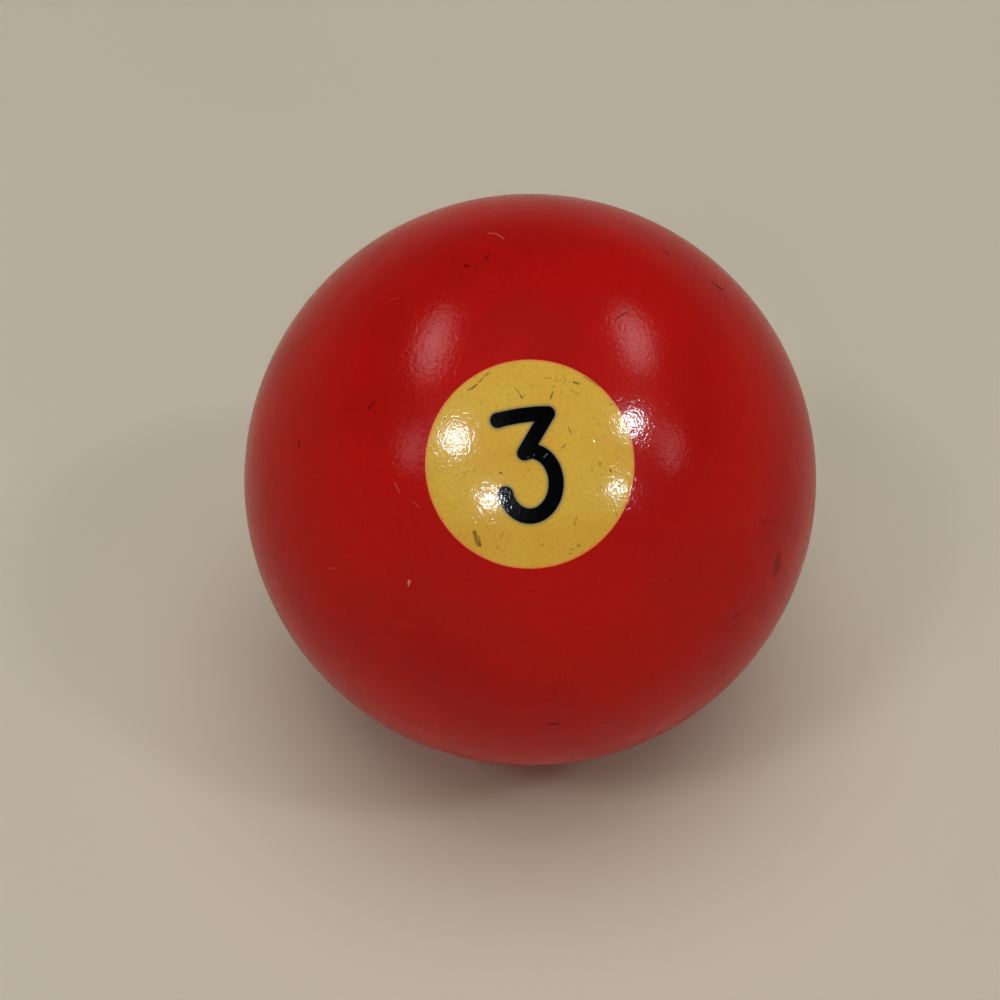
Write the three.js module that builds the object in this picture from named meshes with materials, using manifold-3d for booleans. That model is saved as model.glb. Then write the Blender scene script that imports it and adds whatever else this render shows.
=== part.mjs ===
// A numbered pool ball, in millimetres, +Z up, with its origin at the ball's centre.
//
// The ball is cast resin. Two ivory plugs sit in blind sockets at the ends of one axis, the number axis,
// and each plug carries a black numeral set in an engraved groove. The ball lies with the front number
// facing -Y and tilted up, and the rear number is the front one turned over about the X axis.
//
// Every piece is made about its own +Y axis, which is the number axis, pointing out of the front number.
// There +X is the numeral's right and -Z is the numeral's up.

import * as THREE from 'three';
import { ConvexGeometry } from 'three/addons/geometries/ConvexGeometry.js';
import { mergeVertices } from 'three/addons/utils/BufferGeometryUtils.js';
import Module from 'manifold-3d';

const wasm = await Module();
wasm.setup();

// Driving dimensions
const BALL_RADIUS = 57.15 / 2;
const NUMBER_ELEVATION_DEG = 47; // how far the front number's axis is tilted up from horizontal
const PLUG_RADIUS = 9.05;
const PLUG_DEPTH = 6; // from the ball's surface on the axis to the plug's flat inner face
const PLUG_CHAMFER = 0.8; // on the inner edge
const GROOVE_DEPTH = 2.2; // from the ball's surface on the axis to the lowest point of the groove
const STROKE_RADIUS = 0.65; // half the numeral's line width, and the round nose of its cutter
const BOND = 0.05; // the bond line between two pieces

// The centre line of the numeral 3, as [right, up] from the plug's axis
const BAR_END = [-2.79, 3.64];
const BAR_ARCH = 0.13; // how far the top bar bows up above its chord
const CORNER = [1.47, 4.29];
const WAIST = [-0.45, 0.83];
const BOWL_CENTRE = [0.06, -1.78];
const BOWL_RADII = [2.23, 2.78];
const BOWL_START_DEG = 90;
const BOWL_END_DEG = -160;

// How finely round forms are faceted
const AROUND = 72; // facets round the number axis
const BODY_RINGS = 36; // bands of the ball between its two sockets
const CAP_RINGS = 5; // bands of a plug's domed face
const CUTTER_SIDES = 12;
const NOSE_RINGS = 2;
const BAR_STEPS = 4;
const BOWL_STEPS = 14;
const CUTTER_OVERRUN = 1; // how far the cutter stands out of the ball

const resin = (color, roughness) => new THREE.MeshStandardMaterial({ color, roughness, metalness: 0 });
const RED_RESIN = resin(0xb01410, 0.12);
const IVORY_RESIN = resin(0xdcb860, 0.15);
const BLACK_RESIN = resin(0x0a0a0c, 0.15);

// A solid of revolution about the number axis, from [radius, height] pairs that start and end on the axis.
function turned(profile) {
  return new THREE.LatheGeometry(profile.map(([radius, height]) => new THREE.Vector2(radius, height)), AROUND);
}

// Points on the ball's surface as [radius, height], between two angles from the number axis.
function surfaceArc(fromAngle, toAngle, steps) {
  return Array.from({ length: steps + 1 }, (_, i) => {
    const angle = THREE.MathUtils.lerp(fromAngle, toAngle, i / steps);
    return [BALL_RADIUS * Math.sin(angle), BALL_RADIUS * Math.cos(angle)];
  });
}

// The flat inner end and chamfer of a plug, or of the socket that clears it, from the axis outwards.
function innerEnd(clearance) {
  const radius = PLUG_RADIUS + clearance;
  const height = BALL_RADIUS - PLUG_DEPTH - clearance;
  return [[0, height], [radius - PLUG_CHAMFER, height], [radius, height + PLUG_CHAMFER]];
}

// The ball, with a blind socket at each end of the number axis.
function bodyGeometry() {
  const rimAngle = Math.asin((PLUG_RADIUS + BOND) / BALL_RADIUS);
  const frontSocket = innerEnd(BOND);
  const rearSocket = frontSocket.map(([radius, height]) => [radius, -height]);
  const surface = surfaceArc(Math.PI - rimAngle, rimAngle, BODY_RINGS);
  return turned([...rearSocket, ...surface, ...frontSocket.reverse()]);
}

// A plug before its numeral is engraved.
function plugBlank() {
  const dome = surfaceArc(Math.asin(PLUG_RADIUS / BALL_RADIUS), 0, CAP_RINGS);
  dome[CAP_RINGS][0] = 0;
  return turned([...innerEnd(0), ...dome]);
}

// Points along the numeral's centre line, as separate strokes that meet end to end.
function numeralStrokes() {
  const bar = Array.from({ length: BAR_STEPS + 1 }, (_, i) => {
    const t = i / BAR_STEPS;
    const right = THREE.MathUtils.lerp(BAR_END[0], CORNER[0], t);
    const up = THREE.MathUtils.lerp(BAR_END[1], CORNER[1], t) + 4 * BAR_ARCH * t * (1 - t);
    return [right, up];
  });
  const bowl = Array.from({ length: BOWL_STEPS + 1 }, (_, i) => {
    const angle = THREE.MathUtils.degToRad(THREE.MathUtils.lerp(BOWL_START_DEG, BOWL_END_DEG, i / BOWL_STEPS));
    const right = BOWL_CENTRE[0] + BOWL_RADII[0] * Math.cos(angle);
    const up = BOWL_CENTRE[1] + BOWL_RADII[1] * Math.sin(angle);
    return [right, up];
  });
  return [bar, [CORNER, WAIST], [WAIST, ...bowl]];
}

// The outline points of a round-nosed cutter standing at [right, up] with its nose at the groove's floor.
function cutterPoints([right, up], radius) {
  const floor = BALL_RADIUS - GROOVE_DEPTH + STROKE_RADIUS - radius;
  const ring = (ringRadius, height) => Array.from({ length: CUTTER_SIDES }, (_, i) => {
    const turn = (2 * Math.PI * i) / CUTTER_SIDES;
    return new THREE.Vector3(right + ringRadius * Math.cos(turn), height, -up + ringRadius * Math.sin(turn));
  });
  const nose = Array.from({ length: NOSE_RINGS }, (_, i) => {
    const angle = (Math.PI / 2) * (i / NOSE_RINGS);
    return ring(radius * Math.cos(angle), floor + radius * (1 - Math.sin(angle)));
  });
  const tip = new THREE.Vector3(right, floor, -up);
  return [...ring(radius, BALL_RADIUS + CUTTER_OVERRUN), ...nose.flat(), tip];
}

// A closed three.js geometry as a manifold solid, with shared corners merged and slivers dropped.
function solidFrom(geometry) {
  geometry.deleteAttribute('normal');
  geometry.deleteAttribute('uv');
  const merged = mergeVertices(geometry);
  const corners = [];
  for (let i = 0; i < merged.index.count; i += 3) {
    const triangle = [merged.index.getX(i), merged.index.getX(i + 1), merged.index.getX(i + 2)];
    if (new Set(triangle).size === 3) corners.push(...triangle);
  }
  return new wasm.Manifold(new wasm.Mesh({
    numProp: 3,
    vertProperties: merged.attributes.position.array,
    triVerts: Uint32Array.from(corners),
  }));
}

function geometryFrom(solid) {
  const { vertProperties, triVerts } = solid.getMesh();
  const geometry = new THREE.BufferGeometry();
  geometry.setAttribute('position', new THREE.BufferAttribute(vertProperties, 3));
  geometry.setIndex(new THREE.BufferAttribute(triVerts, 1));
  geometry.computeVertexNormals();
  return geometry;
}

// Everything that a cutter of this radius removes when it follows the numeral's centre line.
function numeralSweep(radius) {
  let sweep = null;
  for (const stroke of numeralStrokes()) {
    for (let i = 1; i < stroke.length; i += 1) {
      const points = [...cutterPoints(stroke[i - 1], radius), ...cutterPoints(stroke[i], radius)];
      const step = solidFrom(new ConvexGeometry(points));
      sweep = sweep ? sweep.add(step) : step;
    }
  }
  return sweep;
}

function pieceMesh(name, geometry, material) {
  const mesh = new THREE.Mesh(geometry, material);
  mesh.name = name;
  return mesh;
}

// The two pieces at one end of the number axis: the engraved plug, and the numeral in its groove.
function numberEnd(end) {
  const blank = solidFrom(plugBlank());
  const plug = blank.subtract(numeralSweep(STROKE_RADIUS));
  const numeral = blank.intersect(numeralSweep(STROKE_RADIUS - BOND));
  const group = new THREE.Group();
  group.add(pieceMesh(`number_plug_${end}`, geometryFrom(plug), IVORY_RESIN));
  group.add(pieceMesh(`numeral_${end}`, geometryFrom(numeral), BLACK_RESIN));
  return group;
}

const frontEnd = numberEnd('front');
const rearEnd = numberEnd('rear');
rearEnd.rotation.x = Math.PI;

const ball = new THREE.Group();
ball.add(pieceMesh('ball_body', bodyGeometry(), RED_RESIN), frontEnd, rearEnd);
ball.rotation.x = THREE.MathUtils.degToRad(180 - NUMBER_ELEVATION_DEG);

export default ball;
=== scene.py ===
"""The looks of a numbered pool ball: polished cast resin with years of play on it.

Three kinds of piece make the ball: a red body with two blind sockets, an ivory plug in each socket, and a
black numeral inlaid in each plug. Lengths on the ball are in millimetres, and become metres when a mesh is
made. Lengths in the studio are in metres. Shapes are worked out in a number's own frame, whose axes are
the numeral's right, its up, and out. The body is in the front number's.
"""

import math

import bmesh
import bpy
import numpy as np
from mathutils import Matrix, Vector
from mathutils.geometry import delaunay_2d_cdt


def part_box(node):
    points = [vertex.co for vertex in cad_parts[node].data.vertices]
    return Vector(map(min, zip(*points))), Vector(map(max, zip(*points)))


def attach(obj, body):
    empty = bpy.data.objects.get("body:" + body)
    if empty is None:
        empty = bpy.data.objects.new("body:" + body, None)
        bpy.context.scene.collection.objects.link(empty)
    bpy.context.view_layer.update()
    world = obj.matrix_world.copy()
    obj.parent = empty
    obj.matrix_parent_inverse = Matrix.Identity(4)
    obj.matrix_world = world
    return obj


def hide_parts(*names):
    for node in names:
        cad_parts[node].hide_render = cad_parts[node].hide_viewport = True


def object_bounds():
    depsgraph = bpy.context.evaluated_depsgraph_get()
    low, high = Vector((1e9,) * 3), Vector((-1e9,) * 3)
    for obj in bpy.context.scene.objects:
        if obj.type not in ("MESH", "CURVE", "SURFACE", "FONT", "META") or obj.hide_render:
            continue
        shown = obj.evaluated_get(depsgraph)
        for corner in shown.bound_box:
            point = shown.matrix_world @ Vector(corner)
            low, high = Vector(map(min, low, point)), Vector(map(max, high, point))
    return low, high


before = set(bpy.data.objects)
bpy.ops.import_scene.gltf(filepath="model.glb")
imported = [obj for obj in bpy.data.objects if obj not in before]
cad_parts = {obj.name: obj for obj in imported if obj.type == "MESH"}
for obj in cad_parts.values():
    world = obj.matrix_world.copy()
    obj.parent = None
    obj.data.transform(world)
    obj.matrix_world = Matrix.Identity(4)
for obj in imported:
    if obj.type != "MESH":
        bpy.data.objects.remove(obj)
cad_low, cad_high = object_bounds()
MM = 0.001

# --- Sizes of the ball ---

BALL_RADIUS = min(cad_high - cad_low) / 2 / MM
plug_low, plug_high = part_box("number_plug_front")
PLUG_RADIUS = (plug_high.x - plug_low.x) / 2 / MM
PLUG_DEPTH = 6.0
PLUG_CHAMFER = 0.8
GROOVE_DEPTH = 2.2
SEAM = 0.006  # the polished bond line between two pieces
NUMBER_ELEVATION = math.radians(47)

# The numeral 3, as (right, up) from the plug's axis
STROKE_RADIUS = 0.65
TERMINAL_SWELL = 0.03  # how much wider the line is where the cutter plunged at its two ends
BAR_END = (-2.79, 3.64)
BAR_ARCH = 0.13
CORNER = (1.47, 4.29)
WAIST = (-0.45, 0.83)
BOWL_CENTRE = (0.06, -1.78)
BOWL_RADII = (2.23, 2.78)
BOWL_START, BOWL_END = math.radians(90), math.radians(-160)
BAR_LENGTH, BOWL_LENGTH = 4.3, 11  # roughly, along the line

# --- How finely surfaces are meshed ---

AROUND = 256  # facets of the body round the number axis
BODY_CELL = 0.7
RIM_CELL = 0.03  # the body's first ring beside a socket
RIM_GROWTH = 1.6
REFINE_LEVELS = 4  # each level halves the body's cells near a mark
MARK_MARGIN = 0.04  # how far past a mark's edge the finest cells reach
MARK_REACH = 1.5  # farther than this from a mark's line, the mesh takes no notice of it
HALF_DIAGONAL = 0.75  # of a square cell, with some to spare
SKIN = 0.01  # a point this near the sphere is on the ball's surface
SHARP_ANGLE = math.radians(30)
PLUG_AROUND = 480
COARSEST, FINEST = 0.4, 0.05  # spacing of a plug's surface points
GRADING = 0.5  # a plug's points are this fraction of their distance to an edge or mark apart
OUTLINE_STEP = 0.05
OUTLINE_TOLERANCE = 0.004  # how far inside another stroke the outline may run
CLOSEST = 0.4  # of a step or spacing: nearer points than this are left out
PATH_STEP = 0.2  # between the points that distances to the numeral are measured from
PROBE = 1e-4  # how far to each side of a point a distance is measured to find its slope
ON_OUTLINE, ON_RIM = 1e-3, 1e-4  # how near counts as on the numeral's edge or the plug's rim
WELD = 1e-6  # points nearer than this are the same
TINY = 1e-9  # keeps a division by a line's length safe

# --- Wear marks ---
# Each is a line on the ball's surface, as (right, up) points seen face-on to the front number.
# "soil" is dark dirt held in a nick, and "chalk" is a pale bruise in the polish. A "drop" is thin where
# its line starts, and widens. Widths and depths are in mm.

def nick(*line, width=0.16, depth=0.02, soil=0.0, chalk=0.0, drop=False):
    return dict(line=line, width=width, depth=depth, soil=soil, chalk=chalk, drop=drop)


BODY_MARKS = [
    nick((-4.1, 21.7), (-3.7, 21.7), (-3.1, 21.4), (-2.7, 21.0), width=0.15, depth=0.01, chalk=0.6),
    nick((-4.3, 18.7), (-4.1, 19.0), (-3.9, 19.2), width=0.24, depth=0.01, soil=0.9),
    nick((-6.2, 18.2), (-5.8, 18.1), width=0.42, depth=0.015, soil=1.0),
    nick((-5.2, 17.8), (-5.1, 17.9), width=0.26, depth=0.01, soil=0.9),
    nick((7.4, 21.4), (7.5, 21.3), width=0.3, depth=0.01, soil=0.9),
    nick((12.1, 20.8), (12.3, 20.7), (12.6, 20.4), width=0.38, depth=0.012, soil=1.0),
    nick((16.8, 18.1), (17.3, 17.7), (17.8, 17.5), width=0.5, depth=0.015, soil=1.0),
    nick((17.7, 16.9), (18.1, 16.6), (18.6, 16.2), width=0.26, depth=0.01, soil=0.9),
    nick((7.3, 13.0), (8.0, 13.6), (8.7, 14.0), width=0.18, depth=0.01, soil=0.9),
    nick((8.0, 14.5), (8.4, 14.3), width=0.13, soil=0.5),
    nick((9.6, 13.3), (9.7, 13.3), width=0.26, depth=0.01, soil=0.8),
    nick((3.3, 11.8), (3.4, 11.8), width=0.2, soil=0.5),
    nick((-14.3, 4.8), (-14.1, 5.1), (-13.8, 5.4), width=0.3, depth=0.01, soil=0.9),
    nick((-21.0, 2.3), (-21.0, 1.7), width=0.4, depth=0.012, soil=0.9),
    nick((-10.5, -10.8), (-10.4, -10.3), width=0.34, depth=0.04, chalk=1.0, drop=True),
    nick((23.1, -6.8), (23.1, -7.8), (23.0, -8.7), width=2.1, depth=0.03, soil=0.5, drop=True),
    nick((21.2, -4.3), (22.6, -4.2), width=0.14, depth=0.015, soil=0.7),
    nick((21.5, -4.6), (22.3, -4.5), width=0.12, depth=0.015, soil=0.5),
    nick((-11.7, -1.8), (-11.3, -2.6), width=0.12, depth=0.008, chalk=0.3),
    nick((-10.1, -3.4), (-9.5, -3.9), width=0.12, depth=0.008, chalk=0.25),
    nick((11.9, 0.2), (12.5, 0.8), width=0.12, depth=0.008, chalk=0.35),
    nick((2.2, -23.2), (2.6, -23.2), (3.0, -23.1), width=0.46, depth=0.015, soil=1.0),
    nick((2.4, -22.5), (2.5, -22.5), width=0.26, depth=0.01, soil=0.8),
    nick((18.9, -13.1), (19.4, -12.9), width=0.38, depth=0.012, soil=0.8),
    nick((13.6, -17.6), (13.8, -17.6), width=0.3, depth=0.01, soil=0.8),
    nick((-13.5, -19.3), (-13.1, -19.3), (-12.6, -19.0), width=0.16, soil=0.6),
]

DISC_MARKS = [
    nick((-5.4, 6.3), (-5.0, 6.5), (-4.7, 6.8), width=0.24, soil=0.85),
    nick((-4.5, 7.0), (-4.2, 7.3), width=0.22, soil=0.7),
    nick((-4.2, 7.3), (-4.0, 7.6), (-3.6, 7.9), width=0.18, depth=0.015, soil=0.75),
    nick((-4.9, 7.5), (-4.8, 7.5), soil=0.5),
    nick((-1.4, 6.5), (-1.1, 6.2), (-0.9, 5.9), width=0.12, depth=0.01, soil=0.55),
    nick((-0.9, 5.8), (-0.7, 5.6), width=0.2, soil=0.8),
    nick((0.0, 6.8), (0.1, 6.6), width=0.12, depth=0.01, soil=0.5),
    nick((1.2, 7.4), (1.7, 7.4), width=0.15, depth=0.01, soil=0.6),
    nick((2.1, 7.1), (2.4, 7.2), (2.7, 7.3), width=0.11, depth=0.01, soil=0.5),
    nick((2.7, 7.7), (2.9, 7.5), (3.0, 7.2), (2.8, 7.0), width=0.12, depth=0.01, soil=0.55),
    nick((2.0, 6.8), (1.9, 6.6), width=0.15, depth=0.01, soil=0.7),
    nick((1.7, 5.6), (1.8, 5.9), (1.9, 6.2), width=0.17, soil=0.9),
    nick((3.7, 7.1), (4.1, 7.0), width=0.3, soil=0.75),
    nick((4.6, 7.6), (5.3, 7.2), (5.9, 6.8), width=0.22, depth=0.01, soil=0.5),
    nick((3.5, 6.4), (4.2, 6.0), width=0.3, depth=0, soil=0.2),
    nick((-1.8, 5.4), (-1.7, 5.4), width=0.18, depth=0.01, soil=0.5),
    nick((-2.5, -0.9), (-2.4, -0.9), width=0.3, soil=0.85),
    nick((-4.7, -6.0), (-4.5, -6.6), (-4.3, -7.1), width=0.5, depth=0.04, soil=0.75),
    nick((-4.3, -6.3), (-4.1, -7.2), width=0.14, depth=0.03, soil=1.0),
    nick((3.9, -5.3), (4.1, -4.6), width=0.15, depth=0.01, soil=0.65),
    nick((7.3, -3.8), (7.6, -4.4), width=0.15, depth=0.01, soil=0.6),
    nick((6.8, -5.2), (6.8, -5.3), soil=0.5),
    nick((6.9, -0.4), (7.0, -0.6), width=0.22, soil=0.8),
    nick((5.3, -0.6), (5.35, -0.6), width=0.18, soil=0.6),
    nick((6.0, -1.5), (6.1, -1.5), width=0.2, soil=0.6),
    nick((3.3, 3.1), (3.5, 2.5), width=0.15, depth=0.01, soil=0.75),
    nick((2.7, 1.3), (3.0, 1.6), width=0.18, soil=0.65),
    nick((5.4, 2.2), (5.7, 1.8), width=0.13, depth=0.01, soil=0.3),
    nick((1.2, -7.1), (1.3, -6.9), width=0.2, soil=0.6),
    nick((-2.4, -6.4), (-2.2, -6.0), width=0.16, depth=0.01, soil=0.5),
    nick((-2.7, -7.3), (-2.6, -7.3), width=0.2, soil=0.4),
    nick((4.2, -7.0), (4.4, -7.0), width=0.26, soil=0.65),
    nick((3.6, -7.7), (3.7, -7.7), width=0.22, soil=0.7),
    nick((-0.2, 0.4), (-0.1, 0.5), width=0.1, depth=0.008, chalk=0.4),
    nick((0.3, 0.6), (0.4, 0.7), width=0.1, depth=0.008, chalk=0.4),
    nick((1.2, 0.5), (1.5, 0.8), width=0.12, depth=0.008, chalk=0.5),
]

MARK_SHARPNESS = 1.6  # how steeply a mark's edge rises
DROP_TIP, DROP_GROWTH = 0.25, 1.2  # a drop's width where it starts, as a fraction, and how fast it grows

# How far, in mm, two tints in the ivory fade out: the grey beside the ink, which is partly an ink stain
# and partly painted shade from the black inlay under translucent ivory, and the ring at a plug's edge.
INK_STAIN_AND_SHADE_DECAY, EDGE_DECAY = 0.2, 0.22

# Marks scattered over the whole ball. The fraction that is pale has chalk, and the rest has soil.
SCATTER_SEED = 3
SCATTER_BEND = 0.3  # curvature, per mm, at most
SOIL_RANGE, CHALK_RANGE = (0.3, 0.8), (0.15, 0.4)
PITS = dict(count=90, points=2, lengths=(0.02, 0.25), widths=(0.09, 0.2), depth=0.02, pale=0.25)
SCRATCHES = dict(count=26, points=5, lengths=(0.8, 2.6), widths=(0.07, 0.11), depth=0.006, pale=0.5)


# --- Small helpers ---

def unit(v):
    return v / np.linalg.norm(v, axis=-1, keepdims=True)


def smoothstep(t):
    t = np.clip(t, 0.0, 1.0)
    return t * t * (3.0 - 2.0 * t)


def circle(count):
    """Points round the unit circle."""
    turns = np.linspace(0, 2 * math.pi, count, endpoint=False)
    return np.stack([np.cos(turns), np.sin(turns)], 1)


def on_ball(points):
    """The surface points straight behind these (right, up) points, seen face-on to the number."""
    points = np.asarray(points, float)
    return np.column_stack([points, np.sqrt(BALL_RADIUS**2 - (points**2).sum(1))])


def number_axes(turned_over):
    """Rows: the numeral's right, its up, and out. The rear number is the front one turned over about X."""
    sin, cos = math.sin(NUMBER_ELEVATION), math.cos(NUMBER_ELEVATION)
    side = -1 if turned_over else 1
    return np.array([[1, 0, 0], [0, side * sin, side * cos], [0, -side * cos, side * sin]])


def distance_to_path(points, path):
    """Each point's distance to a line of straight steps, and how far along it (0 to 1) that is."""
    starts, steps = path[:-1], np.diff(path, axis=0)
    lengths = np.linalg.norm(steps, axis=1)
    before = np.concatenate([[0], np.cumsum(lengths)[:-1]])
    offset = points[:, None, :] - starts[None]
    t = np.clip((offset * steps).sum(2) / np.maximum(lengths**2, TINY), 0, 1)
    gaps = np.linalg.norm(offset - t[..., None] * steps, axis=2)
    nearest = gaps.argmin(1)
    rows = np.arange(len(points))
    along = before[nearest] + t[rows, nearest] * lengths[nearest]
    return gaps[rows, nearest], along / max(lengths.sum(), TINY)


# --- Wear ---

def placed_mark(mark):
    return mark | {"path": on_ball(mark["line"])}


def scattered_mark(random, kind):
    """A pit or a hairline scratch, anywhere on the ball."""
    centre = unit(random.normal(size=3))
    heading = unit(np.cross(centre, random.normal(size=3)))
    bend = np.cross(centre, heading) * random.uniform(-SCATTER_BEND, SCATTER_BEND)
    steps = np.linspace(-0.5, 0.5, kind["points"])[:, None] * random.uniform(*kind["lengths"])
    path = centre * BALL_RADIUS + steps * heading + steps**2 * bend
    pale = random.random() < kind["pale"]
    return dict(
        path=unit(path) * BALL_RADIUS,
        width=random.uniform(*kind["widths"]),
        depth=kind["depth"],
        soil=0.0 if pale else random.uniform(*SOIL_RANGE),
        chalk=random.uniform(*CHALK_RANGE) if pale else 0.0,
        drop=False,
    )


def scattered_marks():
    """Small pits and hairline scratches, spread evenly over the whole ball."""
    random = np.random.default_rng(SCATTER_SEED)
    return [scattered_mark(random, kind) for kind in (PITS, SCRATCHES) for _ in range(kind["count"])]


def turned_over(marks):
    return [mark | {"path": mark["path"] * (1, -1, -1)} for mark in marks]


def points_near(points, mark, margin):
    """Which points may lie within this margin of a mark's line."""
    middle = mark["path"].mean(0)
    reach = np.linalg.norm(mark["path"] - middle, axis=1).max() + margin
    return np.flatnonzero(((points - middle) ** 2).sum(1) < reach**2)


def wear_at(points, marks):
    """Rows: the dent's depth, the soil and the chalk at each point."""
    wear = np.zeros((3, len(points)))
    for mark in marks:
        near = points_near(points, mark, mark["width"])
        if len(near) == 0:
            continue
        gap, along = distance_to_path(points[near], mark["path"])
        half_width = mark["width"] / 2
        if mark["drop"]:
            half_width = half_width * (DROP_TIP + (1 - DROP_TIP) * smoothstep(along * DROP_GROWTH))
        cover = smoothstep(MARK_SHARPNESS * (1 - gap / half_width))
        for row, amount in zip(wear, (mark["depth"], mark["soil"], mark["chalk"])):
            row[near] = np.maximum(row[near], amount * cover)
    return wear


def clearance_from_marks(points, marks):
    """Each point's distance to the edge of the nearest mark."""
    clearance = np.full(len(points), np.inf)
    for mark in marks:
        near = points_near(points, mark, MARK_REACH)
        if len(near):
            gap, _ = distance_to_path(points[near], mark["path"])
            clearance[near] = np.minimum(clearance[near], gap - mark["width"] / 2)
    return clearance


# --- From points to a finished piece ---

def shade_as_sphere(mesh, faces, outside, radial, dented):
    """Gives the outside faces the sphere's own normals, except in the dents."""
    normals = np.zeros(len(radial) * 3)
    mesh.vertex_normals.foreach_get("vector", normals)
    normals = np.where(dented[:, None], normals.reshape(-1, 3), radial)
    loops = np.zeros((len(mesh.loops), 3))
    for i in np.flatnonzero(outside):
        start = mesh.polygons[i].loop_start
        loops[start:start + len(faces[i])] = normals[list(faces[i])]
    mesh.shade_smooth()
    mesh.set_sharp_from_angle(angle=SHARP_ANGLE)
    mesh.normals_split_custom_set(loops.tolist())


def finished_piece(name, points, faces, outside, marks, axes, **extras):
    """A closed mesh from points in a number's frame, dented by the marks where a face is outside.

    Soil, chalk and the extras become the mesh's attributes.
    """
    points = np.asarray(points, float)
    surface = np.zeros(len(points), bool)
    surface[np.concatenate([faces[i] for i in np.flatnonzero(outside)])] = True
    depth, soil, chalk = wear_at(points, marks) * surface
    radial = unit(np.where(surface[:, None], points, 1.0))
    mesh = bpy.data.meshes.new(name)
    mesh.from_pydata(((points - radial * depth[:, None]) @ axes * MM).tolist(), [], faces)
    mesh.update()
    shade_as_sphere(mesh, faces, outside, radial @ axes, depth > 0)
    for attribute, values in dict(soil=soil, chalk=chalk, **extras).items():
        layer = mesh.attributes.new(attribute, "FLOAT", "POINT")
        layer.data.foreach_set("value", values.astype(np.float32))
    piece = bpy.data.objects.new(name, mesh)
    bpy.context.scene.collection.objects.link(piece)
    return piece


# --- The red body ---

def surface_angles():
    """Angles from the number axis of the body's rings, closest together beside the two sockets."""
    rim = math.asin((PLUG_RADIUS + SEAM) / BALL_RADIUS)
    steps = [RIM_CELL]
    while steps[-1] * RIM_GROWTH < BODY_CELL:
        steps.append(steps[-1] * RIM_GROWTH)
    near_rim = rim + np.concatenate([[0], np.cumsum(steps)]) / BALL_RADIUS
    middle_count = math.ceil((math.pi - 2 * near_rim[-1]) * BALL_RADIUS / BODY_CELL)
    middle = np.linspace(near_rim[-1], math.pi - near_rim[-1], middle_count + 1)[1:-1]
    return np.concatenate([near_rim, middle, math.pi - near_rim[::-1]])


def socket_profile():
    """(radius, height) from the rim down the socket's wall to its floor, leaving out the centre."""
    radius = PLUG_RADIUS + SEAM
    floor = BALL_RADIUS - PLUG_DEPTH - SEAM
    return [(radius, floor + PLUG_CHAMFER), (radius - PLUG_CHAMFER, floor)]


def body_mesh():
    """The body, turned about the number axis."""
    socket = socket_profile()
    surface = [(BALL_RADIUS * math.sin(a), BALL_RADIUS * math.cos(a)) for a in surface_angles()]
    profile = socket[::-1] + surface + [(radius, -height) for radius, height in socket]
    bm = bmesh.new()
    rings = [[bm.verts.new((r * x, r * y, h)) for x, y in circle(AROUND)] for r, h in profile]
    for upper, lower in zip(rings, rings[1:]):
        for i in range(AROUND):
            j = (i + 1) % AROUND
            bm.faces.new((upper[i], lower[i], lower[j], upper[j]))
    bm.faces.new(rings[0])
    bm.faces.new(rings[-1][::-1])
    return bm


def is_outside(points):
    return np.linalg.norm(points, axis=-1) > BALL_RADIUS - SKIN


def refine_near_marks(bm, marks):
    """Halves the cells near the marks, over and over, and puts each new corner on the sphere."""
    cell = BODY_CELL
    for _ in range(REFINE_LEVELS):
        faces = list(bm.faces)
        centres = np.array([face.calc_center_median() for face in faces])
        close = clearance_from_marks(centres, marks) < MARK_MARGIN + HALF_DIAGONAL * cell
        chosen = np.flatnonzero(close & is_outside(centres))
        edges = list(dict.fromkeys(edge for i in chosen for edge in faces[i].edges))
        bmesh.ops.subdivide_edges(bm, edges=edges, cuts=1, use_grid_fill=True)
        for vert in bm.verts:
            if vert.co.length > BALL_RADIUS - SKIN:
                vert.co *= BALL_RADIUS / vert.co.length
        cell /= 2


def make_body(marks, axes):
    bm = body_mesh()
    refine_near_marks(bm, marks)
    bm.verts.index_update()
    points = np.array([vert.co for vert in bm.verts])
    faces = [tuple(vert.index for vert in face.verts) for face in bm.faces]
    outside = is_outside(np.array([face.calc_center_median() for face in bm.faces]))
    bm.free()
    return finished_piece("ball_red_body", points, faces, outside, marks, axes)


# --- The numeral's shape ---

def numeral_strokes(step):
    """The bar, the diagonal and the bowl, as points about this far apart along the centre line."""
    t = np.linspace(0, 1, round(BAR_LENGTH / step) + 1)[:, None]
    bar = (1 - t) * BAR_END + t * np.array(CORNER) + 4 * BAR_ARCH * t * (1 - t) * (0, 1)
    diagonal = (1 - t) * CORNER + t * np.array(WAIST)
    turns = np.linspace(BOWL_START, BOWL_END, round(BOWL_LENGTH / step) + 1)
    bowl = np.array(BOWL_CENTRE) + np.stack([np.cos(turns), np.sin(turns)], 1) * BOWL_RADII
    return [bar, diagonal, np.concatenate([[WAIST], bowl])]


NUMERAL_PATH = np.concatenate(numeral_strokes(PATH_STEP))


def from_centre_line(points):
    """Distance to the numeral's centre line, less the swell of its ends."""
    gap, _ = distance_to_path(points, NUMERAL_PATH)
    for end in NUMERAL_PATH[[0, -1]]:
        gap = np.minimum(gap, np.linalg.norm(points - end, axis=1) - TERMINAL_SWELL)
    return gap


def outward(point):
    """The direction at a point in which the distance to the centre line grows."""
    probes = point + np.array([(PROBE, 0), (-PROBE, 0), (0, PROBE), (0, -PROBE)])
    right, left, above, below = from_centre_line(probes)
    return unit(np.array([right - left, above - below]))


def fan(centre, first, last, radius):
    """Points round a centre, the short way from one direction to the other."""
    start = math.atan2(first[1], first[0])
    turn = (math.atan2(last[1], last[0]) - start + math.pi) % (2 * math.pi) - math.pi
    angles = start + np.linspace(0, turn, max(3, round(abs(turn) * radius / OUTLINE_STEP)))[1:-1]
    return centre + radius * np.stack([np.cos(angles), np.sin(angles)], 1)


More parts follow.
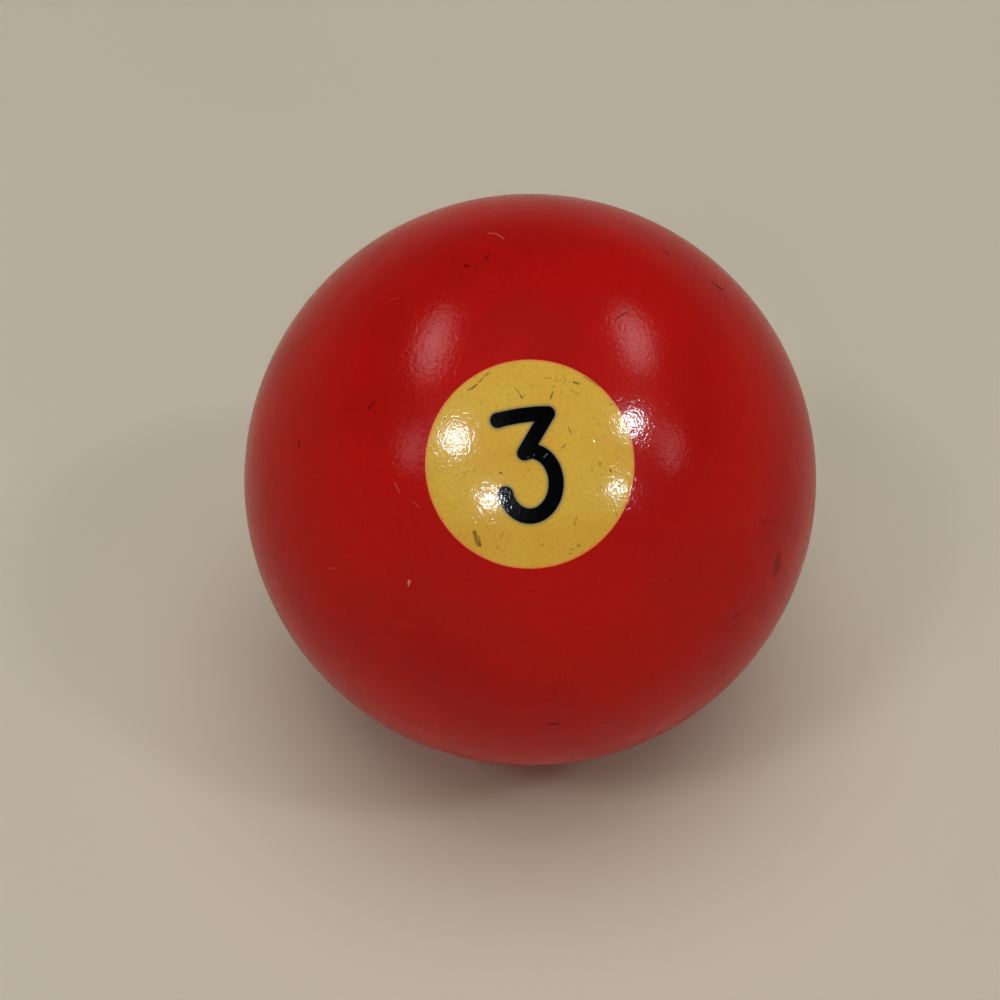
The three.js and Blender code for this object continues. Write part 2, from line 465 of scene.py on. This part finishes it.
def side_of_line(strokes):
    """The line's left side, with a round corner between two strokes, and a round cap at its far end."""
    side = []
    for stroke, following in zip(strokes, strokes[1:] + [None]):
        ahead = unit(np.gradient(stroke, axis=0))
        left = np.stack([-ahead[:, 1], ahead[:, 0]], 1)
        side.append(stroke + STROKE_RADIUS * left)
        if following is None:
            radius = STROKE_RADIUS + TERMINAL_SWELL
            side.append(fan(stroke[-1], left[-1], ahead[-1], radius))
            side.append(fan(stroke[-1], ahead[-1], -left[-1], radius))
        else:
            next_ahead = following[1] - following[0]
            side.append(fan(stroke[-1], left[-1], (-next_ahead[1], next_ahead[0]), STROKE_RADIUS))
    return side


def numeral_outline():
    """Points round the edge of the inlay: both sides of its line, without what another stroke covers."""
    strokes = numeral_strokes(OUTLINE_STEP)
    backwards = [stroke[::-1] for stroke in strokes[::-1]]
    points = np.concatenate(side_of_line(strokes) + side_of_line(backwards))
    points = points[from_centre_line(points) > STROKE_RADIUS - OUTLINE_TOLERANCE]
    gaps = np.linalg.norm(points - np.roll(points, 1, axis=0), axis=1)
    return points[gaps > CLOSEST * OUTLINE_STEP]


# --- Plugs and numerals ---

def grid_points(spacing):
    """A square grid within the plug's rim. Below the coarsest spacing, only what a coarser grid lacks."""
    count = math.ceil(PLUG_RADIUS / spacing)
    ticks = np.arange(-count, count + 1)
    grid = np.stack(np.meshgrid(ticks, ticks), -1).reshape(-1, 2)
    if spacing < COARSEST:
        grid = grid[(grid % 2 != 0).any(1)]
    grid = grid * spacing
    return grid[PLUG_RADIUS - np.linalg.norm(grid, axis=1) > CLOSEST * FINEST]


def graded_grid(marks):
    """Points over a plug's face: sparse on plain surface, and close together near edges and marks."""
    points = np.zeros((0, 2))
    spacing = COARSEST
    while spacing >= FINEST:
        grid = grid_points(spacing)
        rim_gap = PLUG_RADIUS - np.linalg.norm(grid, axis=1)
        edge_gap = np.abs(from_centre_line(grid) - STROKE_RADIUS)
        mark_gap = np.maximum(clearance_from_marks(on_ball(grid), marks), 0)
        wanted = GRADING * np.minimum(np.minimum(edge_gap, rim_gap), mark_gap)
        needed = (wanted < spacing * 2) | (spacing == COARSEST)
        points = np.concatenate([points, grid[needed & (edge_gap > CLOSEST * OUTLINE_STEP)]])
        spacing /= 2
    return points


def turns_left(corners):
    (ax, ay), (bx, by) = corners[1] - corners[0], corners[2] - corners[0]
    return ax * by - ay * bx > 0


def triangulated_face(marks):
    """The plug's face as flat triangles that follow the numeral's edge.

    Returns the points, the triangles, and which of them lie in the numeral.
    """
    outline = numeral_outline()
    flat = np.concatenate([circle(PLUG_AROUND) * (PLUG_RADIUS - SEAM), outline, graded_grid(marks)])
    loop = np.arange(len(outline)) + PLUG_AROUND
    edges = np.stack([loop, np.roll(loop, -1)], 1).tolist()
    corners = [Vector(point) for point in flat]
    result = delaunay_2d_cdt(corners, edges, [list(range(PLUG_AROUND))], 1, WELD)
    points = np.array([tuple(corner) for corner in result[0]])
    faces = [face if turns_left(points[face[:3]]) else face[::-1] for face in result[2]]
    centres = np.array([points[face].mean(0) for face in faces])
    return points, faces, from_centre_line(centres) < STROKE_RADIUS


def border_edges(faces):
    """Directed edges of these faces that no other of them shares."""
    directed = {(a, b) for face in faces for a, b in zip(face, face[1:] + face[:1])}
    return [(a, b) for a, b in directed if (b, a) not in directed]


def groove_floor(points, clearance):
    """The bottom of the round-nosed groove under each point."""
    gap = np.clip(from_centre_line(points), 0, STROKE_RADIUS)
    nose = STROKE_RADIUS - np.sqrt(STROKE_RADIUS**2 - gap**2)
    return np.column_stack([points, BALL_RADIUS - GROOVE_DEPTH + nose + clearance])


def joined(top, bottom, top_faces, bottom_faces, walls):
    """Two sheets and the walls between them, as one list of points and faces with no stray points."""
    points = np.concatenate([top, bottom])
    shift = len(top)
    faces = top_faces + [[i + shift for i in face] for face in bottom_faces]
    faces += [[a, a + shift, b + shift, b] for a, b in walls]
    used = np.unique(np.concatenate([np.array(face) for face in faces]))
    renumber = np.full(len(points), -1)
    renumber[used] = np.arange(len(used))
    return points[used], [renumber[face].tolist() for face in faces]


def make_numeral(name, face_points, inside_faces, marks, axes):
    """The inlay: a domed face, and the groove's shape under it, a seam's width smaller all round."""
    gap = from_centre_line(face_points)
    pulled_in = face_points.copy()
    for i in np.flatnonzero(np.abs(gap - STROKE_RADIUS) < ON_OUTLINE):
        pulled_in[i] -= SEAM * outward(face_points[i])
    top, bottom = on_ball(pulled_in), groove_floor(pulled_in, SEAM)
    bottom_faces = [face[::-1] for face in inside_faces]
    points, faces = joined(top, bottom, inside_faces, bottom_faces, border_edges(inside_faces))
    outside = np.arange(len(faces)) < len(inside_faces)
    return finished_piece(name, points, faces, outside, marks, axes)


def rim_in_order(points):
    """The corners round the edge of a plug's face."""
    rim = np.flatnonzero(np.linalg.norm(points[:, :2], axis=1) > PLUG_RADIUS - SEAM - ON_RIM)
    return rim[np.argsort(np.arctan2(points[rim, 1], points[rim, 0]))].tolist()


def with_side_and_foot(points, faces):
    """Adds the plug's side, its chamfer and its inner face below the rim of its outer face."""
    rim = rim_in_order(points)
    foot = BALL_RADIUS - PLUG_DEPTH
    upper = rim
    for radius, height in ((PLUG_RADIUS - SEAM, foot + PLUG_CHAMFER), (PLUG_RADIUS - PLUG_CHAMFER, foot)):
        ring = unit(points[rim, :2]) * radius
        lower = (np.arange(len(rim)) + len(points)).tolist()
        points = np.concatenate([points, np.column_stack([ring, np.full(len(rim), height)])])
        for i in range(len(rim)):
            j = (i + 1) % len(rim)
            faces.append([upper[i], lower[i], lower[j], upper[j]])
        upper = lower
    return points, faces + [upper[::-1]]


def fading(distance, decay):
    """1 at an edge, and less the farther away."""
    return np.exp(-np.maximum(distance, 0) / decay)


def make_plug(name, face_points, outer_faces, inside_faces, marks, axes):
    """The plug: a domed face with the numeral's groove in it, a side and a chamfered foot."""
    walls = [(b, a) for a, b in border_edges(inside_faces)]
    top, bottom = on_ball(face_points), groove_floor(face_points, 0)
    points, faces = with_side_and_foot(*joined(top, bottom, outer_faces, inside_faces, walls))
    outside = np.arange(len(faces)) < len(outer_faces)
    # Painted shade, in part: a grey that fades out from the numeral's edge, standing for ink stain and for
    # the inlay's shade in the ivory.
    halo = fading(from_centre_line(points[:, :2]) - STROKE_RADIUS, INK_STAIN_AND_SHADE_DECAY)
    edge = fading(PLUG_RADIUS - np.linalg.norm(points[:, :2], axis=1), EDGE_DECAY)
    return finished_piece(name, points, faces, outside, marks, axes, halo=halo, edge=edge)


def make_number(end, marks):
    axes = number_axes(end == "rear")
    points, faces, inside = triangulated_face(marks)
    inside_faces = [face for face, within in zip(faces, inside) if within]
    outer_faces = [face for face, within in zip(faces, inside) if not within]
    plug = make_plug(f"ivory_plug_{end}", points, outer_faces, inside_faces, marks, axes)
    numeral = make_numeral(f"black_numeral_{end}", points, inside_faces, marks, axes)
    return plug, numeral


# --- Materials ---

# Colours are linear.
RED, BRIGHT_RED = (0.49, 0.008, 0.007, 1), (0.57, 0.008, 0.005, 1)
RED_FLECK = (0.38, 0.004, 0.004, 1)
RED_DIRT = (0.05, 0.002, 0.002, 1)
RED_CHALK = (0.75, 0.25, 0.2, 1)
IVORY, PALE_IVORY = (0.82, 0.46, 0.055, 1), (0.86, 0.55, 0.075, 1)
IVORY_GRAIN = (0.66, 0.37, 0.045, 1)
IVORY_SPECK = (0.42, 0.22, 0.03, 1)
IVORY_EDGE = (0.92, 0.28, 0.07, 1)
# Painted shade, in part: the grey beside the numeral is an ink stain and also the shade a black inlay
# casts into translucent ivory.
IVORY_INK_STAIN_AND_SHADE = (0.2, 0.2, 0.13, 1)
IVORY_DIRT = (0.10, 0.04, 0.006, 1)
IVORY_CHALK = (0.85, 0.7, 0.4, 1)
BLACK, DARK_GREY = (0.0006, 0.0006, 0.001, 1), (0.0016, 0.0016, 0.0024, 1)
BLACK_CHALK = (0.25, 0.27, 0.33, 1)
FLOOR, PALE_FLOOR = (0.66, 0.60, 0.48, 1), (0.74, 0.68, 0.56, 1)
ROOM_WALL, ROOM_CEILING = (0.42, 0.40, 0.36, 1), (0.012, 0.012, 0.014, 1)

# What is left of the polish is a thin glossy coat over a dull base.
COAT_WEIGHT, COAT_ROUGHNESS, COAT_IOR = 0.24, 0.1, 1.4
BASE_SPECULAR = 0.015
BASE_ROUGHNESS = (0.24, 0.34)
DIRT_ROUGHNESS = 0.4  # added to the base's

# Unevenness of the polish. Noise scales are per mm, and heights are in mm.
WAVE_SCALE, WAVE_HEIGHT = 0.45, 0.012
GRAIN_SCALE, GRAIN_HEIGHT = 5.0, 0.0006
# Fine dents and ridges: noise scale, its shift, line width in noise units, height.
CRINKLES = (
    (1.0, 0.0, 0.09, -0.0036),
    (1.6, 20.0, 0.14, -0.0034),
    (2.3, 41.0, 0.17, 0.0025),
)


class Nodes:
    """Builds a node tree. Inputs are numbers, colours or other nodes' outputs."""

    def __init__(self, tree):
        self.tree = tree

    def add(self, kind, inputs=None, output=0, **settings):
        node = self.tree.nodes.new(kind)
        for key, value in settings.items():
            setattr(node, key, value)
        for key, value in (inputs or {}).items():
            self.set(node.inputs[key], value)
        return node.outputs[output]

    def set(self, socket, value):
        if isinstance(value, bpy.types.NodeSocket):
            self.tree.links.new(value, socket)
        else:
            socket.default_value = value

    def math(self, operation, a, b=0.0):
        return self.add("ShaderNodeMath", {0: a, 1: b}, operation=operation)

    def noise(self, position, scale, detail=0.0, shift=0.0):
        offset = (shift, shift * 0.7, -shift)
        moved = self.add("ShaderNodeVectorMath", {0: position, 1: offset}, operation="ADD")
        return self.add("ShaderNodeTexNoise", {"Vector": moved, "Scale": scale, "Detail": detail})

    def ramp(self, value, low, high, to_low=0.0, to_high=1.0):
        inputs = {"Value": value, "From Min": low, "From Max": high, "To Min": to_low, "To Max": to_high}
        return self.add("ShaderNodeMapRange", inputs, interpolation_type="SMOOTHSTEP")

    def mix(self, factor, a, b):
        return self.add("ShaderNodeMix", {0: factor, 6: a, 7: b}, output=2, data_type="RGBA")

    def attribute(self, name):
        return self.add("ShaderNodeAttribute", output="Fac", attribute_name=name)


def new_material(name):
    """A material, the builder of its nodes, and its shader."""
    material = bpy.data.materials.new(name)
    material.use_nodes = True
    return material, Nodes(material.node_tree), material.node_tree.nodes["Principled BSDF"]


def crinkle_lines(nodes, position, scale, shift, width):
    """Short, curved lines: where a noise crosses its middle value, broken up by another noise."""
    crossing = nodes.math("SUBTRACT", nodes.noise(position, scale, 1.0, shift), 0.5)
    line = nodes.ramp(nodes.math("ABSOLUTE", crossing), 0.0, width, 1.0, 0.0)
    breaks = nodes.ramp(nodes.noise(position, scale * 1.3, 0.0, shift + 9), 0.36, 0.5)
    return nodes.math("MULTIPLY", line, breaks)


def worn_polish(nodes, position):
    """The surface normal of polish that has knocked against other balls for years."""
    height = nodes.math("MULTIPLY", nodes.noise(position, WAVE_SCALE, 1.0, 63.0), WAVE_HEIGHT)
    for scale, shift, width, depth in CRINKLES:
        lines = nodes.math("MULTIPLY", crinkle_lines(nodes, position, scale, shift, width), depth)
        height = nodes.math("ADD", height, lines)
    grain = nodes.math("MULTIPLY", nodes.noise(position, GRAIN_SCALE, 1.0, 80.0), GRAIN_HEIGHT)
    height = nodes.math("ADD", height, grain)
    return nodes.add("ShaderNodeBump", {"Strength": 1.0, "Distance": MM, "Height": height})


def resin(name, paint):
    """A cast resin, its polish partly worn away. paint(nodes, position) gives its colour."""
    material, nodes, shader = new_material(name)
    coordinates = nodes.add("ShaderNodeTexCoord", output="Object")
    position = nodes.add("ShaderNodeVectorMath", {0: coordinates, "Scale": 1 / MM}, operation="SCALE")
    haze = nodes.ramp(nodes.noise(position, 0.12, 3.0, 33.0), 0.35, 0.7, *BASE_ROUGHNESS)
    marked = nodes.math("MAXIMUM", nodes.attribute("soil"), nodes.attribute("chalk"))
    polish = worn_polish(nodes, position)
    dull = nodes.math("MULTIPLY", marked, DIRT_ROUGHNESS)
    nodes.set(shader.inputs["Roughness"], nodes.math("ADD", haze, dull))
    nodes.set(shader.inputs["Normal"], polish)
    nodes.set(shader.inputs["Coat Normal"], polish)
    nodes.set(shader.inputs["Base Color"], paint(nodes, position))
    shader.inputs["Specular IOR Level"].default_value = BASE_SPECULAR
    shader.inputs["Coat Weight"].default_value = COAT_WEIGHT
    shader.inputs["Coat Roughness"].default_value = COAT_ROUGHNESS
    shader.inputs["Coat IOR"].default_value = COAT_IOR
    return material


def dirtied(nodes, position, colour, dirt_colour):
    """A colour under the dirt in its nicks, which lies in broken patches."""
    patches = nodes.ramp(nodes.noise(position, 2.6, 2.0, 50.0), 0.35, 0.6, 0.6, 1.0)
    return nodes.mix(nodes.math("MULTIPLY", nodes.attribute("soil"), patches), colour, dirt_colour)


def red_paint(nodes, position):
    cloud = nodes.ramp(nodes.noise(position, 0.09, 3.0), 0.35, 0.65)
    red = nodes.mix(cloud, RED, BRIGHT_RED)
    fleck = nodes.ramp(nodes.noise(position, 4.0, 2.0, 12.0), 0.35, 0.65, 0.0, 0.3)
    red = nodes.mix(fleck, red, RED_FLECK)
    red = dirtied(nodes, position, red, RED_DIRT)
    return nodes.mix(nodes.attribute("chalk"), red, RED_CHALK)


def ivory_paint(nodes, position):
    cloud = nodes.ramp(nodes.noise(position, 0.16, 3.0), 0.3, 0.7)
    ivory = nodes.mix(cloud, IVORY, PALE_IVORY)
    grain = nodes.ramp(nodes.noise(position, 3.5, 3.0, 15.0), 0.35, 0.65, 0.0, 0.3)
    ivory = nodes.mix(grain, ivory, IVORY_GRAIN)
    speck = nodes.ramp(nodes.noise(position, 1.8, 2.0, 27.0), 0.66, 0.76, 0.0, 0.6)
    ivory = nodes.mix(speck, ivory, IVORY_SPECK)
    edge = nodes.ramp(nodes.attribute("edge"), 0.15, 0.85, 0.0, 0.85)
    ivory = nodes.mix(edge, ivory, IVORY_EDGE)
    # Painted shade, in part: grey beside the numeral, an ink stain plus the darkening a black inlay gives
    # translucent ivory.
    halo = nodes.ramp(nodes.attribute("halo"), 0.05, 1.0, 0.0, 0.9)
    ivory = nodes.mix(halo, ivory, IVORY_INK_STAIN_AND_SHADE)
    ivory = dirtied(nodes, position, ivory, IVORY_DIRT)
    return nodes.mix(nodes.attribute("chalk"), ivory, IVORY_CHALK)


def black_paint(nodes, position):
    cloud = nodes.ramp(nodes.noise(position, 1.5, 2.0), 0.4, 0.7)
    black = nodes.mix(cloud, BLACK, DARK_GREY)
    return nodes.mix(nodes.attribute("chalk"), black, BLACK_CHALK)


# --- The studio ---

CAMERA_ELEVATION = math.radians(44)
CAMERA_DISTANCE = 6.5 * BALL_RADIUS * MM
CAMERA_LENS = 66.1
CAMERA_CLIP = 0.01
AIM_LEFT, AIM_DOWN = math.radians(0.91), math.radians(0.63)  # the ball sits right of and above the middle
CAMERA_BACK = Vector((0, -math.cos(CAMERA_ELEVATION), math.sin(CAMERA_ELEVATION)))
CAMERA_UP = Vector((0, math.sin(CAMERA_ELEVATION), math.cos(CAMERA_ELEVATION)))

# The room's four lamps: direction from the ball, width in degrees, radiance of the lamp itself, and
# how strongly it lights the ball. A small bright lamp gives the highlight, and a dimmer twin the light.
LAMPS = (
    ((-0.465, -0.436, 0.77), 10, 134, 0.34),
    ((0.606, -0.27, 0.748), 7.4, 218, 0.29),
    ((-0.253, -0.777, 0.576), 6.4, 215, 0.12),
    ((0.55, -0.63, 0.548), 4.8, 200, 0.07),
)
LAMP_DISTANCE = 1.5
LIGHT_COLOUR = (1.0, 0.98, 0.94)
MIRRORED_COLOUR = (0.9, 0.97, 1.0)
CEILING_DIRECTION = (0, -0.05, 1)
CEILING_WIDTH = math.radians(56)
CEILING_IRRADIANCE = 1.45
# Soft patches of light on the room's walls: direction from the ball, half width, half height, radiance.
GLOWS = (
    ((-0.54, 0.217, 0.813), 0.25, 0.56, 12.5),
    ((0.553, 0.284, 0.784), 0.24, 0.50, 12.5),
    ((-0.71, -0.37, 0.60), 0.22, 0.30, 6.0),
    ((0.81, -0.26, 0.53), 0.22, 0.30, 6.0),
)
GLOW_SIDES = 48
FLOOR_HALF_WIDTH = 4.0
FLOOR_ROUGHNESS, FLOOR_SPECULAR = 0.7, 0.1
WALL_FOOT, WALL_TOP = -0.05, 0.5  # heights, on a unit sphere, between which the wall darkens


def facing_ball(obj, direction, upright=None):
    """Places an object in a direction, with its -Z at the ball and its Y along a given direction."""
    outward_z = Vector(direction).normalized()
    across = (upright or Vector((0, 1, 0.1))).cross(outward_z).normalized()
    axes = Matrix((across, outward_z.cross(across), outward_z)).transposed()
    obj.matrix_world = Matrix.Translation(outward_z * LAMP_DISTANCE) @ axes.to_4x4()
    bpy.context.scene.collection.objects.link(obj)


def add_lamp(name, direction, size, irradiance, colour):
    """A round lamp that gives this irradiance where the ball lies, on a surface that faces it."""
    light = bpy.data.lights.new(name, "AREA")
    light.shape = "DISK"
    light.size = size
    light.energy = irradiance * math.pi * LAMP_DISTANCE**2
    light.color = colour
    obj = bpy.data.objects.new(name, light)
    obj.visible_camera = False
    facing_ball(obj, direction)
    return obj


def add_lamp_pair(index, direction, width_deg, radiance, irradiance):
    """A bright lamp that only the polish shows, and a lamp in the same place that only lights."""
    half_width = math.radians(width_deg) / 2
    size = 2 * LAMP_DISTANCE * math.tan(half_width)
    mirrored = radiance * 2 * math.pi * (1 - math.cos(half_width))
    add_lamp(f"lamp_{index}", direction, size, mirrored, MIRRORED_COLOUR).visible_diffuse = False
    add_lamp(f"lamplight_{index}", direction, size, irradiance, LIGHT_COLOUR).visible_glossy = False


def add_ceiling():
    """The even light of a pale ceiling."""
    light = bpy.data.lights.new("ceiling", "SUN")
    light.angle = CEILING_WIDTH
    light.energy = CEILING_IRRADIANCE
    light.color = LIGHT_COLOUR
    obj = bpy.data.objects.new("ceiling", light)
    obj.visible_glossy = False
    facing_ball(obj, CEILING_DIRECTION)


def glow_material(name, radiance):
    """Emission that fades out from the middle of its card."""
    material, nodes, shader = new_material(name)
    nodes.tree.nodes.remove(shader)
    card = nodes.add("ShaderNodeTexCoord", output="Object")
    from_middle = nodes.add("ShaderNodeVectorMath", {0: card}, output="Value", operation="LENGTH")
    strength = nodes.ramp(from_middle, 0.0, 1.0, radiance, 0.0)
    emission = nodes.add("ShaderNodeEmission", {"Strength": strength})
    nodes.set(nodes.tree.nodes["Material Output"].inputs["Surface"], emission)
    return material


def mirrored_upright(direction):
    """Which way a card in this direction must point to look upright in the ball, from the camera."""
    normal = (direction + CAMERA_BACK).normalized()
    up = CAMERA_UP - CAMERA_UP.dot(normal) * normal
    return up.dot(CAMERA_BACK) * normal + normal.dot(CAMERA_BACK) * up


def add_glow(index, direction, half_width, half_height, radiance):
    """A soft upright glow, as of light on a wall. Only the polish shows it."""
    name = f"glow_{index}"
    mesh = bpy.data.meshes.new(name)
    bm = bmesh.new()
    bmesh.ops.create_circle(bm, cap_ends=True, segments=GLOW_SIDES, radius=1.0)
    bm.to_mesh(mesh)
    bm.free()
    mesh.materials.append(glow_material(name, radiance))
    obj = bpy.data.objects.new(name, mesh)
    obj.visible_camera = False
    obj.visible_diffuse = False
    obj.visible_shadow = False
    direction = Vector(direction).normalized()
    facing_ball(obj, direction, mirrored_upright(direction))
    obj.matrix_world = obj.matrix_world @ Matrix.Diagonal((half_width, half_height, 1, 1))


def floor_material():
    material, nodes, shader = new_material("pale_floor")
    position = nodes.add("ShaderNodeTexCoord", output="Object")
    tone = nodes.noise(position, 6.0, 3.0)
    nodes.set(shader.inputs["Base Color"], nodes.mix(tone, FLOOR, PALE_FLOOR))
    shader.inputs["Roughness"].default_value = FLOOR_ROUGHNESS
    shader.inputs["Specular IOR Level"].default_value = FLOOR_SPECULAR
    return material


def add_floor():
    """A square floor that touches the ball's lowest point."""
    mesh = bpy.data.meshes.new("floor")
    half, height = FLOOR_HALF_WIDTH, -BALL_RADIUS * MM
    corners = [(x * half, y * half, height) for x, y in ((-1, -1), (1, -1), (1, 1), (-1, 1))]
    mesh.from_pydata(corners, [], [(0, 1, 2, 3)])
    mesh.materials.append(floor_material())
    floor = bpy.data.objects.new("floor", mesh)
    bpy.context.scene.collection.objects.link(floor)


def add_world():
    """A grey room: a dark ceiling, and pale walls near the horizon."""
    world = bpy.data.worlds.new("studio")
    bpy.context.scene.world = world
    world.use_nodes = True
    nodes = Nodes(world.node_tree)
    direction = nodes.add("ShaderNodeTexCoord", output="Generated")
    height = nodes.add("ShaderNodeSeparateXYZ", {0: direction}, output="Z")
    grey = nodes.mix(nodes.ramp(height, WALL_FOOT, WALL_TOP), ROOM_WALL, ROOM_CEILING)
    background = world.node_tree.nodes["Background"]
    nodes.set(background.inputs["Color"], grey)
    background.inputs["Strength"].default_value = 1.0


def add_camera():
    data = bpy.data.cameras.new("camera")
    data.lens = CAMERA_LENS
    data.clip_start = CAMERA_CLIP
    camera = bpy.data.objects.new("camera", data)
    camera.location = CAMERA_BACK * CAMERA_DISTANCE
    aim = -CAMERA_BACK - math.tan(AIM_LEFT) * Vector((1, 0, 0)) - math.tan(AIM_DOWN) * CAMERA_UP
    camera.rotation_mode = "QUATERNION"
    camera.rotation_quaternion = aim.to_track_quat("-Z", "Y")
    bpy.context.scene.collection.objects.link(camera)
    bpy.context.scene.camera = camera


# --- Everything together ---

def stand_in(piece, node, material):
    """Makes a piece the looks of a CAD node."""
    piece.data.materials.append(material)
    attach(piece, "root")
    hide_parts(node)


add_camera()
add_world()
add_floor()
for index, lamp in enumerate(LAMPS):
    add_lamp_pair(index, *lamp)
add_ceiling()
for index, glow in enumerate(GLOWS):
    add_glow(index, *glow)
bpy.context.scene.view_settings.view_transform = "Standard"

scatter = scattered_marks()
placed = [placed_mark(mark) for mark in BODY_MARKS + DISC_MARKS]
red = resin("red_resin", red_paint)
ivory = resin("ivory_resin", ivory_paint)
black = resin("black_resin", black_paint)

stand_in(make_body(placed + scatter, number_axes(False)), "ball_body", red)
for end, marks in (("front", placed + scatter), ("rear", turned_over(scatter))):
    plug, numeral = make_number(end, marks)
    stand_in(plug, f"number_plug_{end}", ivory)
    stand_in(numeral, f"numeral_{end}", black)
